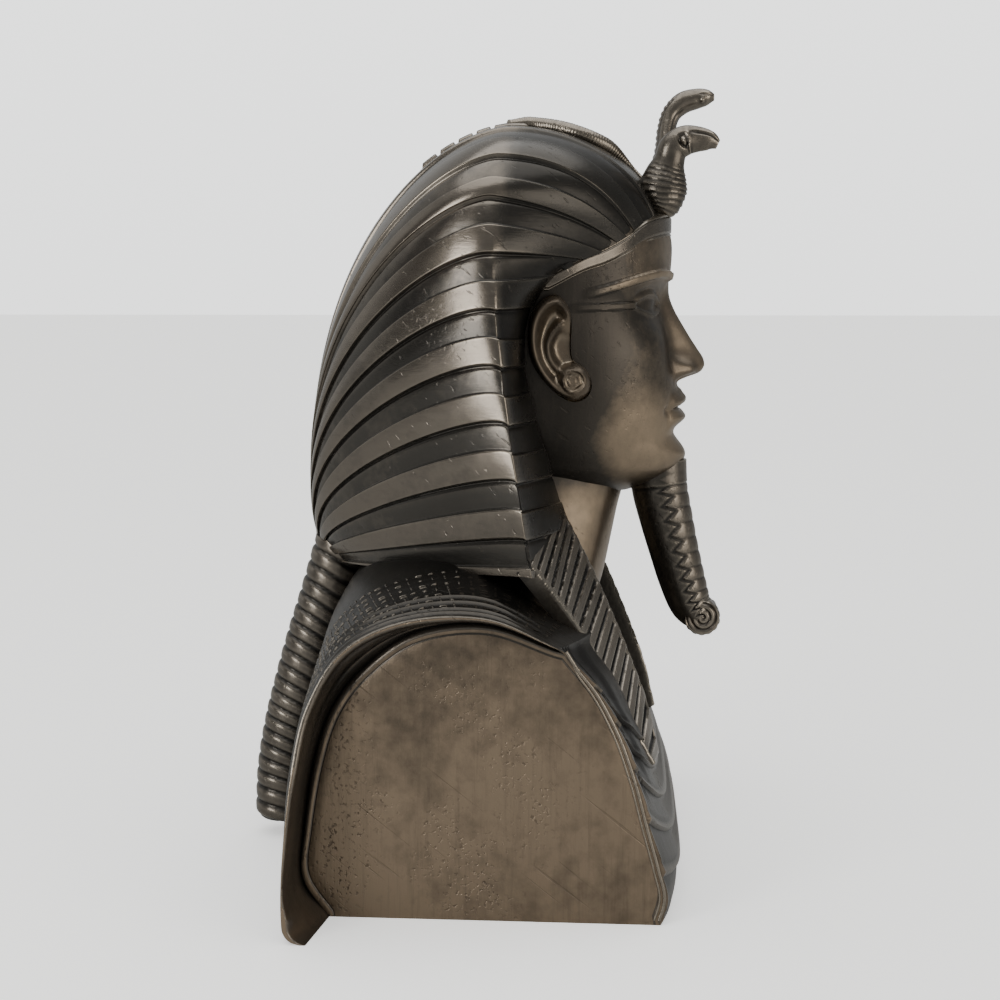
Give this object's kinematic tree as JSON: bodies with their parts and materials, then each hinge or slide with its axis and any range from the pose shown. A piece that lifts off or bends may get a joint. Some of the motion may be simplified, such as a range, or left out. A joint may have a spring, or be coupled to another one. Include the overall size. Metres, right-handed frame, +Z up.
{
  "type": "pharaoh bust",
  "caption": "Cast bust of a pharaoh with striped headcloth, cobra and vulture crest, false beard, broad collar and tied queue; flat underside to stand on.",
  "frame": {"origin": "middle of the bounding box at the underside, on the surface the bust stands on", "axes": "+Z up, the face looks along -Y, +X is the figure's left side"},
  "size_m": [0.199, 0.1578, 0.2501],
  "materials": {
    "bronze": "dark antique bronze patina, brushed, rubbed brighter on raised edges"
  },
  "bodies": {
    "root": {"pharaoh_bust": "bronze"}
  },
  "joints": []
}
